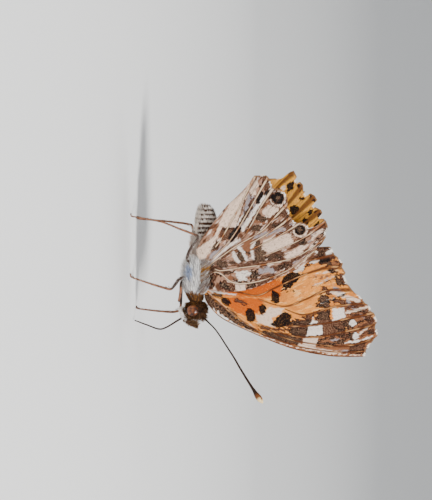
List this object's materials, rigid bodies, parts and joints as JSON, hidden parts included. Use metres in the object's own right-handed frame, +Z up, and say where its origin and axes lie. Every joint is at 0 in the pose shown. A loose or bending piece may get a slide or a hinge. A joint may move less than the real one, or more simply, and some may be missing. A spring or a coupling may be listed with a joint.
{
  "type": "painted lady butterfly",
  "caption": "Resting painted lady butterfly, wings closed over its back, standing on its legs with feelers forward and tongue down.",
  "frame": {"origin": "bottom centre of the bounding box, on the floor under the feet", "axes": "+X the way the head points, +Y the insect's left, +Z up"},
  "size_m": [0.0404, 0.0132, 0.0424],
  "materials": {
    "body_fur": "soft hair",
    "eye": "smooth, glossy",
    "palp_scales": "pale scales",
    "feeler": "dark, dull",
    "tongue": "dark, dull",
    "leg": "brown with pale scales",
    "wing_scales": "powdery scales"
  },
  "bodies": {
    "root": {"thorax": "body_fur", "abdomen": "body_fur", "head": "body_fur", "eye_left": "eye", "palp_left": "palp_scales", "antenna_left": "feeler", "foreleg_left": "leg", "midleg_left": "leg", "hindleg_left": "leg", "forewing_left": "wing_scales", "hindwing_left": "wing_scales", "eye_right": "eye", "palp_right": "palp_scales", "antenna_right": "feeler", "foreleg_right": "leg", "midleg_right": "leg", "hindleg_right": "leg", "forewing_right": "wing_scales", "hindwing_right": "wing_scales", "proboscis": "tongue"}
  },
  "joints": []
}
